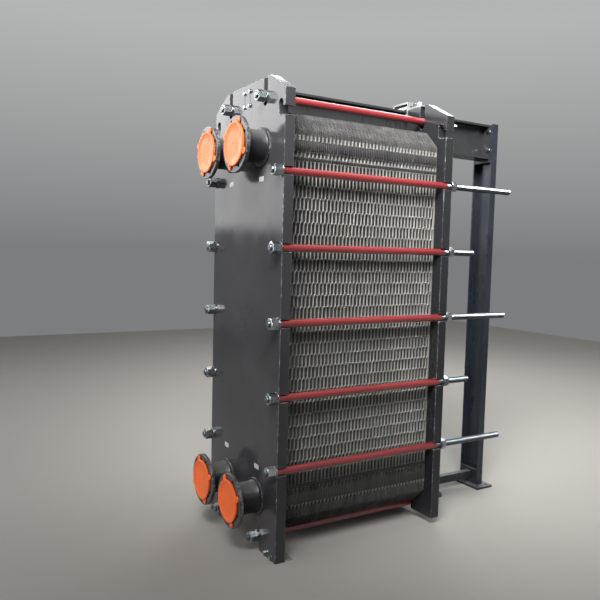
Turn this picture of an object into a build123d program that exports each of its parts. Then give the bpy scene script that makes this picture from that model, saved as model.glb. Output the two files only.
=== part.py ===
from build123d import *
from math import sqrt
import os

# Wide channel plate heat exchanger, about 2.5 m tall.
# Millimetres, X across the unit, Y from the nozzle side to the support column, Z up.
# While it is drawn, Y = 0 is the front face of the fixed frame plate and Z = 0 is the floor.

# Frame plate and pressure plate
plate_width = 840.0
plate_height = 2474.0
top_flat = 510.0
shoulder_drop = 89.0
frame_thickness = 56.0
pressure_thickness = 58.0
pressure_lift = 40.0
pressure_top_drop = 8.0
foot_gap_floor_width = 430.0
foot_gap_top_width = 462.0
foot_gap_height = 71.0

# Hook shaped lifting slots near the top corners
hook_slot_width = 43.0
hook_slot_inset = 45.0
hook_slot_drop = 199.0
hook_slot_rise = 38.0

# Tie rods with their nuts and plastic sleeves
rod_diameter = 36.0
sleeve_diameter = 40.0
sleeve_fit = 0.3
sleeve_end_gap = 0.3
sleeve_rear_gap = 30.0
slot_clearance = 1.0
side_rod_count = 5
lowest_side_rod = 475.0
highest_side_rod_drop = 489.0
side_rod_inset = 21.0
top_rod_drop = 100.0
top_rod_spacing = 420.0
top_slot_relief = 24.0
bottom_rod_height = 75.0
bottom_rod_spacing = 436.0
nut_flats = 55.0
front_nut_height = 52.0
rear_nut_height = 38.0
front_stub = 10.0
long_tail = 490.0
short_tail = 205.0

# What repeats is drawn with few sides: rods, sleeves, slots and small holes, ports, and pipe stubs
few_sides = 8
port_sides = 12
pipe_sides = 24

# Plate pack: thin channel plates with a gasket pad before each
plate_count = 85
plates_per_group = 17
sheet_thickness = 0.8
gasket_thickness = 10.8
sheet_width = 698.0
sheet_bottom = 98.0
sheet_corner = 95.0
gasket_inset = 22.0
hanger_reach = 62.0
hanger_slope_run = 48.0
hanger_drop_clearance = 6.0
hanger_seat_gap = 0.3

# Carrying beam, an I section with an end plate at each end
beam_height = 224.0
beam_width = 116.0
beam_flange = 13.0
beam_web = 8.0
beam_root_radius = 10.0
beam_drop = 10.0
beam_end_plate = 12.0
rail_span = 1711.0

# Support column, a channel with its open side towards the frame plate
column_width = 160.0
column_depth = 50.0
column_flange = 9.0
column_web = 7.0
column_rise = 5.0
head_plate_thickness = 10.0
head_plate_overlap = 22.0
base_width = 260.0
base_length = 140.0
base_thickness = 14.0
base_hole = 18.0
base_hole_spacing_x = 200.0
base_hole_spacing_y = 84.0

# Guide bar under the pack
guide_width = 40.0
guide_height = 50.0
guide_clearance = 2.0
guide_side_clearance = 3.0

# Connections
port_spacing = 362.0
top_port_drop = 179.0
bottom_port_rise = 180.0
nozzle_reach = 156.0
pipe_diameter = 168.0
pipe_bore = 154.0
flange_diameter = 285.0
flange_thickness = 22.0
bolt_circle = 240.0
flange_hole = 22.0
flange_hole_count = 8
collar_diameter = 198.0
collar_thickness = 10.0

# Plastic covers over the connections
cover_diameter = 222.0
cover_thickness = 10.0
lug_diameter = 32.0
lug_count = 4

# Angle brackets at the feet
bracket_leg = 50.0
bracket_thickness = 5.0
bracket_length = 125.0
bracket_edge = 5.0
bracket_hole = 18.0

# Roller and yoke that carry the pressure plate on the beam
yoke_span = 400.0
yoke_width = 50.0
yoke_thickness = 10.0
yoke_leg_thickness = 10.0
yoke_leg_width = 25.0
yoke_leg_clearance = 4.0
keeper_reach = 30.0
keeper_clearance = 6.0
roller_diameter = 38.0
roller_length = 100.0
roller_axle = 20.0
roller_top_gap = 4.0
axle_fit = 0.3

# Levels and stations that follow from the sizes above
pack_length = plate_count * (gasket_thickness + sheet_thickness)
pressure_front = frame_thickness + pack_length
pressure_rear = pressure_front + pressure_thickness
pressure_top = plate_height - pressure_top_drop
column_front = frame_thickness + rail_span
column_rear = column_front + column_depth
beam_top = plate_height - beam_drop
beam_bottom = beam_top - beam_height
column_top = beam_top + column_rise
sheet_top = beam_bottom + hanger_reach
guide_top = sheet_bottom - guide_clearance
top_port_height = sheet_top - top_port_drop
bottom_port_height = sheet_bottom + bottom_port_rise
slot_width = sleeve_diameter + 2 * slot_clearance
slot_run = 2 * side_rod_inset
side_rod_x = plate_width / 2 - side_rod_inset
side_rod_pitch = (plate_height - highest_side_rod_drop - lowest_side_rod) / (side_rod_count - 1)
side_rod_heights = [lowest_side_rod + i * side_rod_pitch for i in range(side_rod_count)]
top_rod_height = plate_height - top_rod_drop
yoke_leg_x = beam_width / 2 + yoke_leg_clearance
beam_notch = 2 * (yoke_leg_x + yoke_leg_thickness + yoke_leg_clearance)
base_middle = (column_front + column_rear) / 2
front_end = -(nozzle_reach + cover_thickness)
rear_end = base_middle + base_length / 2
middle_y = (front_end + rear_end) / 2


def upright(outline, front, thickness):
    """Stand an outline drawn in X and Z upright, from Y = front to front + thickness."""
    return Pos(0, front, 0) * extrude(Plane.XZ * outline, thickness, dir=(0, 1, 0))


def rounded(diameter, sides=few_sides):
    """A round of few sides, with flat ones at its left, right, top and bottom."""
    return RegularPolygon(diameter / 2, sides, major_radius=False, rotation=180 / sides)


def slot_from(x, z, across, up, width):
    """A slot with rounded ends that starts at X, Z and runs across or up by the given length."""
    middle = Pos(x + across / 2, z + up / 2)
    straight = middle * Rectangle(abs(across) or width, abs(up) or width)
    return straight + Pos(x, z) * rounded(width) + Pos(x + across, z + up) * rounded(width)


def upright_plate_outline(bottom, top):
    """The outline that both heavy plates share, with sloped shoulders at the top."""
    half = plate_width / 2
    shoulder = top - shoulder_drop
    corners = [(-half, bottom), (half, bottom), (half, shoulder), (top_flat / 2, top)]
    corners += [(-top_flat / 2, top), (-half, shoulder)]
    return Polygon(*corners, align=None)


def rod_and_hook_slots(bottom):
    """The open slots for the tie rods and the hooked lifting slots, on both sides."""
    cuts = []
    hook_x = plate_width / 2 - hook_slot_inset
    hook_z = plate_height - hook_slot_drop
    top_slot_floor = top_rod_height - top_slot_relief
    for side in (-1, 1):
        for height in side_rod_heights:
            cuts.append(slot_from(side * side_rod_x, height, side * slot_run, 0, slot_width))
        top_x = side * top_rod_spacing / 2
        top_run = plate_height - top_slot_floor + slot_width
        cuts.append(slot_from(top_x, top_slot_floor, 0, top_run, slot_width))
        bottom_run = bottom_rod_height - bottom + slot_width
        cuts.append(slot_from(side * bottom_rod_spacing / 2, bottom_rod_height, 0, -bottom_run, slot_width))
        mouth_run = hook_slot_inset + hook_slot_width
        cuts.append(slot_from(side * hook_x, hook_z, side * mouth_run, 0, hook_slot_width))
        cuts.append(slot_from(side * hook_x, hook_z, 0, hook_slot_rise, hook_slot_width))
    return cuts


def port_centres():
    """The four connection centres."""
    return [(side * port_spacing / 2, z) for z in (top_port_height, bottom_port_height) for side in (-1, 1)]


def frame_plate():
    """The fixed plate: two feet, open rod slots, lifting slots and four ports."""
    outline = upright_plate_outline(0, plate_height)
    gap_floor = foot_gap_floor_width / 2
    gap_top = foot_gap_top_width / 2
    gap = [(-gap_floor, 0), (gap_floor, 0), (gap_top, foot_gap_height), (-gap_top, foot_gap_height)]
    outline -= Polygon(*gap, align=None)
    outline -= rod_and_hook_slots(foot_gap_height)
    port = rounded(pipe_bore, port_sides)
    outline -= [Pos(x, z) * port for x, z in port_centres()]
    return upright(outline, 0, frame_thickness)


def pressure_plate():
    """The movable plate, notched for the carrying beam and for the guide bar."""
    outline = upright_plate_outline(pressure_lift, pressure_top)
    outline -= rod_and_hook_slots(pressure_lift)
    beam_cut = pressure_top - beam_bottom + hanger_drop_clearance
    outline -= Pos(0, pressure_top) * Rectangle(beam_notch, 2 * beam_cut)
    guide_cut = guide_top + guide_side_clearance - pressure_lift
    guide_notch = guide_width + 2 * guide_side_clearance
    outline -= Pos(0, pressure_lift) * Rectangle(guide_notch, 2 * guide_cut)
    return upright(outline, pressure_front, pressure_thickness)


def carrying_beam():
    """The I section that carries the plates, closed by an end plate at each end."""
    flange_middle = (beam_height - beam_flange) / 2
    section = Rectangle(beam_web, beam_height)
    section += Pos(0, flange_middle) * Rectangle(beam_width, beam_flange)
    section += Pos(0, -flange_middle) * Rectangle(beam_width, beam_flange)
    roots = [v for v in section.vertices() if abs(abs(v.X) - beam_web / 2) < 0.01]
    section = fillet(roots, beam_root_radius)
    middle = (beam_top + beam_bottom) / 2
    beam = upright(Pos(0, middle) * section, frame_thickness, rail_span)
    cap = Pos(0, middle) * Rectangle(beam_width, beam_height)
    beam += upright(cap, column_front - beam_end_plate, beam_end_plate)
    low = sheet_top + hanger_drop_clearance
    front_cap = Pos(0, (low + beam_top) / 2) * Rectangle(beam_width, beam_top - low)
    return beam + upright(front_cap, frame_thickness, beam_end_plate)


def column_plate(low, high):
    """A plate welded flush between the open edges of the channel."""
    width = column_width - 2 * column_flange
    outline = Pos(0, (low + high) / 2) * Rectangle(width, high - low)
    return upright(outline, column_front, head_plate_thickness)


def support_column():
    """The channel column with its base, and welded plates for the beam and the guide bar."""
    section = Pos(0, column_front + column_depth / 2) * Rectangle(column_width, column_depth)
    hollow = column_width - 2 * column_flange
    open_depth = column_depth - column_web
    section -= Pos(0, column_front + open_depth / 2) * Rectangle(hollow, open_depth)
    post = Pos(0, 0, base_thickness) * extrude(section, column_top - base_thickness)
    post += column_plate(beam_bottom - head_plate_overlap, beam_top)
    post += column_plate(base_thickness, guide_top + head_plate_overlap)
    base = Rectangle(base_width, base_length)
    base -= GridLocations(base_hole_spacing_x, base_hole_spacing_y, 2, 2) * Circle(base_hole / 2)
    post += Pos(0, base_middle, 0) * extrude(base, base_thickness)
    return post


def guide_bar():
    """The bar that keeps the plates in line at the bottom."""
    section = Rectangle(guide_width, guide_height)
    return upright(Pos(0, guide_top - guide_height / 2) * section, frame_thickness, rail_span)


def channel_plate_outline():
    """One thin plate: cut corners, and a dovetail cut-out that hooks over the beam's lower flange."""
    half = sheet_width / 2
    shoulder = sheet_top - sheet_corner
    toe = sheet_bottom + sheet_corner
    floor = beam_bottom - hanger_drop_clearance
    slope = hanger_slope_run / (sheet_top - floor)
    hook_x = beam_width / 2 + hanger_seat_gap * sqrt(1 + slope**2)
    hook_z = beam_bottom + beam_flange
    right = [(half - sheet_corner, sheet_bottom), (half, toe)]
    right += [(half, shoulder), (half - sheet_corner, sheet_top)]
    right += [(hook_x - slope * (sheet_top - hook_z), sheet_top)]
    right += [(hook_x + slope * (hook_z - floor), floor)]
    left = [(-x, z) for x, z in reversed(right)]
    return Polygon(*right, *left, align=None)


def gasket_pad_outline():
    """The gasket and the channel inside it, closed off as one pad."""
    low = sheet_bottom + sheet_corner
    high = sheet_top - sheet_corner
    return Pos(0, (low + high) / 2) * Rectangle(sheet_width - 2 * gasket_inset, high - low)


def plate_pack_group(group):
    """One run of plates and gasket pads, each pad in front of its plate."""
    sheet = channel_plate_outline()
    pad = gasket_pad_outline()
    sheets = []
    pads = []
    for place in range(plates_per_group):
        number = group * plates_per_group + place
        front = frame_thickness + number * (gasket_thickness + sheet_thickness)
        pads.append(upright(pad, front, gasket_thickness))
        sheets.append(upright(sheet, front + gasket_thickness, sheet_thickness))
    return sheets, pads


def tie_rod(x, z, tail):
    """A threaded rod, from its stub before the front nut to the end of its free thread behind."""
    front = -front_nut_height - front_stub
    return upright(Pos(x, z) * rounded(rod_diameter), front, pressure_rear + tail - front)


def rod_nuts(x, z):
    """The two hexagon nuts of a rod with their washers, tight against the two heavy plates."""
    hexagon = RegularPolygon(nut_flats / 2, 6, major_radius=False) - rounded(rod_diameter)
    placed = Pos(x, z) * hexagon
    front_nut = upright(placed, -front_nut_height, front_nut_height)
    return [front_nut, upright(placed, pressure_rear, rear_nut_height)]


def rod_sleeve(x, z):
    """The plastic sleeve over the rod, a little too short to reach the rear nut."""
    ring = rounded(sleeve_diameter) - rounded(rod_diameter + 2 * sleeve_fit)
    return upright(Pos(x, z) * ring, sleeve_end_gap, pressure_rear - sleeve_rear_gap - sleeve_end_gap)


def rod_places():
    """Where each group of rods stands, with the length of the free thread behind."""
    sides = []
    for number, height in enumerate(side_rod_heights):
        sides.append((height, short_tail if number % 2 else long_tail))
    return {
        "left": [(-side_rod_x, height, tail) for height, tail in sides],
        "right": [(side_rod_x, height, tail) for height, tail in sides],
        "top": [(side * top_rod_spacing / 2, top_rod_height, short_tail) for side in (-1, 1)],
        "bottom": [(side * bottom_rod_spacing / 2, bottom_rod_height, short_tail) for side in (-1, 1)],
    }


def on_bolt_circle(shape, count, first_place=0):
    """Copies of a shape on the bolt circle, where no bolt place is straight above the centre."""
    turn = (first_place + 0.5) * 360 / flange_hole_count
    return PolarLocations(bolt_circle / 2, count, start_angle=turn) * shape


def nozzle(x, z):
    """A pipe stub welded to the frame plate by a collar, with a drilled flange.

    The top right one has true round holes, and the others have holes of few sides.
    """
    centre = Pos(x, z)
    front = -nozzle_reach
    drilled_round = x > 0 and z == top_port_height
    hole = Circle(flange_hole / 2) if drilled_round else rounded(flange_hole)
    disc = Circle(flange_diameter / 2) - on_bolt_circle(hole, flange_hole_count)
    stub = upright(centre * rounded(pipe_diameter, pipe_sides), front, nozzle_reach)
    stub += upright(centre * rounded(collar_diameter, pipe_sides), -collar_thickness, collar_thickness)
    stub += upright(centre * disc, front, flange_thickness)
    return stub - upright(centre * rounded(pipe_bore, port_sides), front, nozzle_reach)


def port_cover(x, z):
    """A thin plastic cover whose lugs sit over every second flange hole, odd ones at the top."""
    first_place = 1 if z > plate_height / 2 else 0
    face = Circle(cover_diameter / 2)
    face += on_bolt_circle(rounded(lug_diameter), lug_count, first_place)
    return upright(Pos(x, z) * face, -nozzle_reach - cover_thickness, cover_thickness)


def foot_bracket(side):
    """An angle behind the foot of the frame plate, drilled for a floor bolt."""
    middle = side * (plate_width / 2 - bracket_edge - bracket_length / 2)
    rear = frame_thickness
    seat = (Align.CENTER, Align.MIN, Align.MIN)
    upright_leg = Box(bracket_length, bracket_thickness, bracket_leg, align=seat)
    floor_leg = Box(bracket_length, bracket_leg, bracket_thickness, align=seat)
    hole_y = (bracket_leg + bracket_thickness) / 2
    floor_leg -= Pos(0, hole_y, 0) * Cylinder(bracket_hole / 2, 2 * bracket_thickness)
    return Pos(middle, rear, 0) * (upright_leg + floor_leg)


def hanger_yoke():
    """The bent strap over the beam that stands on the pressure plate and holds the roller."""
    under = beam_top + roller_diameter + roller_top_gap
    inner = yoke_leg_x
    outer = inner + yoke_leg_thickness
    right = [(outer, under + yoke_thickness), (outer, pressure_top + yoke_thickness)]
    right += [(yoke_span / 2, pressure_top + yoke_thickness), (yoke_span / 2, pressure_top)]
    right += [(beam_notch / 2, pressure_top), (inner, pressure_top), (inner, under)]
    left = [(-x, z) for x, z in reversed(right)]
    middle = (pressure_front + pressure_rear) / 2
    strap = upright(Polygon(*right, *left, align=None), middle - yoke_width / 2, yoke_width)
    keeper_top = beam_top - beam_flange - keeper_clearance
    for side in (-1, 1):
        leg_height = pressure_top - keeper_top + yoke_thickness
        leg = Pos(side * (inner + outer) / 2, pressure_top - leg_height / 2)
        leg *= Rectangle(yoke_leg_thickness, leg_height)
        lip_middle = side * (outer - (keeper_reach + yoke_leg_thickness) / 2)
        lip = Pos(lip_middle, keeper_top - yoke_thickness / 2)
        lip *= Rectangle(keeper_reach + yoke_leg_thickness, yoke_thickness)
        strap += upright(leg + lip, middle - yoke_width / 2, yoke_leg_width)
    axle_level = beam_top + roller_diameter / 2
    return strap - along_x(roller_axle + 2 * axle_fit, 2 * outer, axle_level)


def along_x(diameter, length, z):
    """A round bar of few sides along X, over the middle of the pressure plate."""
    middle = (pressure_front + pressure_rear) / 2
    return Pos(0, middle, z) * extrude(Plane.YZ * rounded(diameter), length / 2, both=True)


def hanger_roller():
    """The roller on top of the beam with its axle, which turns in the yoke's legs."""
    level = beam_top + roller_diameter / 2
    axle_length = 2 * (yoke_leg_x + yoke_leg_thickness)
    return along_x(roller_diameter, roller_length, level) + along_x(roller_axle, axle_length, level)


def save(name, *solids):
    """Move a piece so that the origin is under the middle of the whole unit, and write it."""
    moved = [Pos(0, -middle_y, 0) * solid for solid in solids]
    shape = moved[0] if len(moved) == 1 else Compound(children=moved)
    shape.label = name
    export_step(shape, "parts/" + name + ".step")


os.makedirs("parts", exist_ok=True)
save("frame_plate", frame_plate())
save("pressure_plate", pressure_plate())
save("carrying_beam", carrying_beam())
save("support_column", support_column())
save("guide_bar", guide_bar())
save("foot_bracket_left", foot_bracket(-1))
save("foot_bracket_right", foot_bracket(1))
save("hanger_yoke", hanger_yoke())
save("hanger_roller", hanger_roller())
for group in range(plate_count // plates_per_group):
    sheets, pads = plate_pack_group(group)
    save("channel_plates_%d" % (group + 1), *sheets)
    save("gasket_pads_%d" % (group + 1), *pads)
for place, rods in rod_places().items():
    save("tie_rods_" + place, *[tie_rod(x, z, tail) for x, z, tail in rods])
    save("rod_nuts_" + place, *[nut for x, z, tail in rods for nut in rod_nuts(x, z)])
    save("rod_sleeves_" + place, *[rod_sleeve(x, z) for x, z, tail in rods])
save("nozzles", *[nozzle(x, z) for x, z in port_centres()])
save("port_covers", *[port_cover(x, z) for x, z in port_centres()])
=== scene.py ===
# %% [markdown]
# A plate heat exchanger is a pack of thin pressed plates, squeezed between two thick steel plates
# by long threaded rods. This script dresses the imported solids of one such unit, 2.5 m tall, and
# builds in mesh code what is too fine for them: the wavy plate edges, threads, bolts and bevels.
# Every size is in metres, X runs across the unit, Y from the connections to the column, Z up.

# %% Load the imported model
import bpy, bmesh, math, random
from mathutils import Matrix, Vector


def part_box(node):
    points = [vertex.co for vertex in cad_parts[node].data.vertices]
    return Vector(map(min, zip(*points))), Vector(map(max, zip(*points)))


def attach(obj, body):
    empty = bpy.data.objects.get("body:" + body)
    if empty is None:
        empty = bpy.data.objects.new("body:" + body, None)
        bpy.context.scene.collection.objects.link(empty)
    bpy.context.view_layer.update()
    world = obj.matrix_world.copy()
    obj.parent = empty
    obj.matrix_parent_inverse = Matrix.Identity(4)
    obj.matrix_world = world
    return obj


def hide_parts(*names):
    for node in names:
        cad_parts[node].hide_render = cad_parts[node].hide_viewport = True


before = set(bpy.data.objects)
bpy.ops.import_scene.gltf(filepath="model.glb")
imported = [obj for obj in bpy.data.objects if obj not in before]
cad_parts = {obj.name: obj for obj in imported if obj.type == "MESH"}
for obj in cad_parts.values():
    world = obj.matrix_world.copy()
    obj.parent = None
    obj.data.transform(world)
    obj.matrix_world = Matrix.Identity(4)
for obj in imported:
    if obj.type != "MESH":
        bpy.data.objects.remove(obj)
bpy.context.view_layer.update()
random.seed(7)

# %% [markdown]
# Most pieces line up with the two heavy plates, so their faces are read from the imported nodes
# once and every other place follows from them.

# %% Faces and levels that the pieces share
front_corner, back_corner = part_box("frame_plate")
front_face, frame_back = front_corner.y, back_corner.y
plate_half, plate_top = back_corner.x, back_corner.z
pressure_front, pressure_back = (corner.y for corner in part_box("pressure_plate"))
front_corner, back_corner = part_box("channel_plates_1")
first_sheet, sheet_half = front_corner.y, back_corner.x
sheet_low, sheet_high = front_corner.z, back_corner.z
beam_low, beam_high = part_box("carrying_beam")
column_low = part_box("support_column")[0]
print("frame plate from %.3f to %.3f, pressure plate from %.3f" % (front_face, frame_back, pressure_front))

# %% [markdown]
# A mesh piece is made in three steps: fill a bmesh, turn it into an object, and hang it on the
# frame. One helper does the last two for every piece, so that none can be left riding on nothing.
# Smooth shading is switched on by angle, which keeps machined edges sharp.

# %% Helpers that turn a bmesh into a riding piece
def object_from(bm, name, material):
    """Turn the bmesh into an object of the scene, with one material."""
    mesh = bpy.data.meshes.new(name)
    bm.to_mesh(mesh)
    bm.free()
    mesh.materials.append(material)
    made = bpy.data.objects.new(name, mesh)
    bpy.context.scene.collection.objects.link(made)
    return made


def piece_from(bm, name, material, *nodes, smooth=30.0):
    """Turn the bmesh into a piece that rides on the unit and may stand for CAD nodes."""
    bmesh.ops.recalc_face_normals(bm, faces=bm.faces)
    piece = object_from(bm, name, material)
    piece.data.shade_smooth()
    piece.data.set_sharp_from_angle(angle=math.radians(smooth))
    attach(piece, "root")
    if nodes:
        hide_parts(*nodes)
    return piece


def bake_modifiers(piece):
    """Replace the piece's mesh by what its modifiers make of it."""
    depsgraph = bpy.context.evaluated_depsgraph_get()
    made = bpy.data.meshes.new_from_object(piece.evaluated_get(depsgraph))
    piece.modifiers.clear()
    piece.data = made


# %% [markdown]
# Nearly every turned part of this unit, such as a flange, a nut or a washer, is a stack of rings
# joined by faces. One helper skins such rings neighbour to neighbour, as a lathe follows a profile.

# %% Rings and stacks of rings
def ring(radius, depth, sides=48, turn=0.0):
    """Points of a circle round the Y axis at the given depth along it."""
    steps = [turn + math.tau * i / sides for i in range(sides)]
    return [Vector((radius * math.cos(a), depth, radius * math.sin(a))) for a in steps]


def skin_rings(bm, rings, place=Vector(), closed=False):
    """Join rings with equal counts into a solid; closed joins the last ring to the first."""
    rows = [[bm.verts.new(point + place) for point in points] for points in rings]
    pairs = list(zip(rows, rows[1:])) + ([(rows[-1], rows[0])] if closed else [])
    for low, high in pairs:
        for i in range(len(low)):
            j = (i + 1) % len(low)
            bm.faces.new((low[i], low[j], high[j], high[i]))
    if not closed:
        bm.faces.new(rows[0])
        bm.faces.new(rows[-1])


def prism(bm, outline, low_y, high_y):
    """A solid with one outline of X, Z pairs at two depths."""
    skin_rings(bm, [[Vector((x, y, z)) for x, z in outline] for y in (low_y, high_y)])


def block(bm, low, high):
    """A plain box between two corners, as part of a larger piece."""
    made = bmesh.ops.create_cube(bm, size=1.0)["verts"]
    size = Vector(high) - Vector(low)
    middle = (Vector(high) + Vector(low)) / 2
    for vert in made:
        vert.co = Vector(vert.co[i] * size[i] + middle[i] for i in range(3))


# %% [markdown]
# Materials come before the pieces. Each is a Principled shader whose roughness and bump are
# driven by noise in object space, so nothing is flat and nothing depends on the camera. A small
# builder makes nodes by type and links them by name.

# %% A short way to wire shader nodes
class Finish:
    """A material under construction, with its Principled shader ready."""

    def __init__(self, name, colour, roughness=0.5, metallic=0.0):
        self.material = bpy.data.materials.new(name)
        self.material.use_nodes = True
        self.tree = self.material.node_tree
        self.shader = self.tree.nodes["Principled BSDF"]
        self.shader.inputs["Base Color"].default_value = (*colour, 1.0)
        self.shader.inputs["Roughness"].default_value = roughness
        self.shader.inputs["Metallic"].default_value = metallic
        self.place = self.node("ShaderNodeTexCoord").outputs["Object"]

    def feed(self, socket, value):
        """Link another node's output to a socket, or set the socket to a plain value."""
        if isinstance(value, bpy.types.NodeSocket):
            self.tree.links.new(value, socket)
        else:
            socket.default_value = value

    def node(self, kind, **inputs):
        """A new node of one kind, with its inputs fed by name."""
        made = self.tree.nodes.new(kind)
        for key, value in inputs.items():
            self.feed(made.inputs[key.replace("_", " ")], value)
        return made

    def link(self, output, socket):
        """Drive one of the Principled shader's sockets."""
        self.tree.links.new(output, self.shader.inputs[socket])

    def noise(self, scale, detail=4.0, rough=0.55, stretch=None):
        """Noise in object space, from 0 to 1, stretched along an axis if asked."""
        where = self.place
        if stretch:
            where = self.node("ShaderNodeMapping", Vector=where, Scale=stretch).outputs["Vector"]
        made = self.node("ShaderNodeTexNoise", Vector=where, Scale=scale, Detail=detail, Roughness=rough)
        return made.outputs["Fac"]

    def spread(self, value, low_in, high_in, low_out, high_out):
        """Map a value from one range to another, clamped."""
        made = self.node("ShaderNodeMapRange", Value=value, From_Min=low_in, From_Max=high_in,
                         To_Min=low_out, To_Max=high_out)
        return made.outputs["Result"]

    def clouds(self, noise):
        """Stretch the middle of a noise to the whole range from 0 to 1."""
        return self.spread(noise, 0.35, 0.65, 0.0, 1.0)

    def between(self, noise, low, high):
        """Let a noise swing a value, such as a roughness, between two limits."""
        return self.spread(noise, 0.3, 0.7, low, high)

    def blend(self, share, below, above):
        """Mix two colours by a share from 0 to 1."""
        made = self.tree.nodes.new("ShaderNodeMix")
        made.data_type = "RGBA"
        self.feed(made.inputs[0], share)
        for place, colour in ((6, below), (7, above)):
            plain = isinstance(colour, (list, tuple))
            self.feed(made.inputs[place], (*colour, 1.0) if plain else colour)
        return made.outputs[2]

    def maths(self, operation, first, second):
        """One step of arithmetic on two values."""
        made = self.tree.nodes.new("ShaderNodeMath")
        made.operation = operation
        for socket, value in zip(made.inputs, (first, second)):
            self.feed(socket, value)
        return made.outputs[0]

    def bump(self, height, distance, strength=1.0, edge=0.0):
        """Drive the normal by a height, over edges rounded by the Bevel node if asked."""
        made = self.node("ShaderNodeBump", Height=height, Distance=distance, Strength=strength)
        if edge:
            bevel = self.node("ShaderNodeBevel", Radius=edge)
            bevel.samples = 4
            self.feed(made.inputs["Normal"], bevel.outputs[0])
        self.link(made.outputs[0], "Normal")


print("shader builder ready")

# %% [markdown]
# The two heavy plates, the beam, the column and the connections are flame cut or rolled steel under
# one coat of charcoal enamel. It is glossy, but it was rolled on by hand, so reflections waver a
# little. Fine orange peel comes from a small noise and the slow waver from a large one. Dust lies
# thinly on what faces up, and dulls it. One recipe serves five groups of pieces, each with its own
# shade and gloss.

# %% Charcoal enamel
dust_colour = (0.3, 0.29, 0.28)
dust_share, scuff_share = 0.3, 0.35
worn_roughness = 0.35


def enamel(name, colour, roughness=0.12):
    """One coat of enamel with dust on top, a few scuffs and a gloss that wavers."""
    finish = Finish(name, colour)
    finish.shader.inputs["Specular IOR Level"].default_value = 0.35
    patches = finish.clouds(finish.noise(3.0, 5.0))
    tone = finish.blend(patches, [c * 0.86 for c in colour], [c * 1.14 for c in colour])
    normal = finish.node("ShaderNodeNewGeometry").outputs["Normal"]
    upward = finish.node("ShaderNodeSeparateXYZ", Vector=normal).outputs["Z"]
    specks = finish.between(finish.noise(60.0, 6.0, 0.7), 0.75, 1.0)
    dust = finish.maths("MULTIPLY", finish.spread(upward, 0.3, 1.0, 0.0, dust_share), specks)
    streaks = finish.noise(26.0, 8.0, 0.75, (1.0, 1.0, 0.5))
    scuffs = finish.spread(streaks, 0.64, 0.72, 0.0, scuff_share)
    worn = finish.maths("MAXIMUM", dust, scuffs)
    finish.link(finish.blend(worn, tone, dust_colour), "Base Color")
    smears = finish.noise(9.0, 6.0, 0.6, (1.0, 1.0, 0.4))
    gloss = finish.between(smears, roughness * 0.7, roughness * 1.5)
    dulled = finish.maths("MULTIPLY", worn, worn_roughness)
    finish.link(finish.maths("ADD", gloss, dulled), "Roughness")
    peel = finish.maths("MULTIPLY", finish.noise(420.0, 2.0), 0.05)
    finish.bump(finish.maths("ADD", peel, finish.noise(9.0, 2.0)), 0.0009, 0.4, edge=0.0012)
    return finish.material


plate_enamel = enamel("plate_enamel", (0.034, 0.034, 0.037))
rear_enamel = enamel("rear_enamel", (0.018, 0.0185, 0.021), 0.2)
rail_enamel = enamel("rail_enamel", (0.016, 0.020, 0.027), 0.3)
beam_enamel = enamel("beam_enamel", (0.024, 0.0245, 0.0255), 0.3)
nozzle_enamel = enamel("nozzle_enamel", (0.012, 0.0115, 0.0135), 0.3)
print("five enamels: front plate, rear plate, rails, beam and connections")

# %% [markdown]
# Paint is thin on a ground edge and rubs off there first. The bevels of the heavy plates and the
# flanges' rims get a finish where bare metal and remains of the enamel share the surface in
# patches. A second material on those faces is simpler than a mask.
# The light grey of this finish is partly bare metal and partly a painted highlight, the bright line that
# these edges catch.

# %% Worn edges with a painted highlight
def worn_paint(name, light, dark, share):
    """Light bare metal, which also paints a highlight, and remains of paint in patches; a larger share
    leaves more paint.
    """
    finish = Finish(name, light, 0.4)
    chips = finish.noise(38.0, 6.0, 0.7)
    bare = finish.spread(chips, share - 0.06, share + 0.06, 0.0, 1.0)
    finish.link(finish.blend(bare, dark, light), "Base Color")
    finish.link(finish.between(chips, 0.5, 0.3), "Roughness")
    finish.bump(chips, 0.0004, 0.4)
    return finish.material


# In both finishes the light colour stands for bare metal and also paints the highlight that the edges catch.
worn_edge = worn_paint("worn_edge", (0.34, 0.34, 0.33), (0.04, 0.04, 0.045), 0.56)
flange_rim = worn_paint("flange_rim", (0.16, 0.16, 0.155), (0.025, 0.024, 0.027), 0.53)
print("worn edges:", worn_edge.name, "and", flange_rim.name)

# %% [markdown]
# Zinc plating is a thin bright coat over steel: bluish grey, cloudy, with a few dull spots. The
# sheets are pickled stainless steel, which is paler and much less of a mirror: light that enters
# between them scatters many times, so part of the finish is diffuse. Where the sheets are plain or
# sheared, a darker copy of the steel paints the shade that falls there. The red sleeves have a
# clear coat over their colour, which gives them their long highlight.

# %% Zinc, stainless steel, rubber and plastics
def metal(name, light, dark, rough_low, rough_high, scale, brushed=None, share=1.0):
    """A cloudy metal; brushed stretches the clouds and share says how metallic it is."""
    finish = Finish(name, light, metallic=share)
    clouds = finish.clouds(finish.noise(scale, 5.0, 0.6, brushed))
    finish.link(finish.blend(clouds, dark, light), "Base Color")
    smears = finish.noise(scale * 3.0, 4.0, 0.6, brushed)
    finish.link(finish.between(smears, rough_low, rough_high), "Roughness")
    finish.bump(finish.noise(scale * 8.0, 3.0, 0.6, brushed), 0.0004, 0.4, edge=0.0006)
    return finish.material


def plastic(name, light, dark, roughness, scale, ripple, stretch=None):
    """A moulded or printed finish with faint clouds and a ripple."""
    finish = Finish(name, light)
    clouds = finish.clouds(finish.noise(scale, 4.0, 0.55, stretch))
    finish.link(finish.blend(clouds, dark, light), "Base Color")
    smears = finish.noise(scale * 4.0)
    finish.link(finish.between(smears, roughness * 0.8, roughness * 1.25), "Roughness")
    finish.bump(finish.noise(scale * 2.0, 2.0), ripple, 0.6)
    return finish.material


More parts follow.
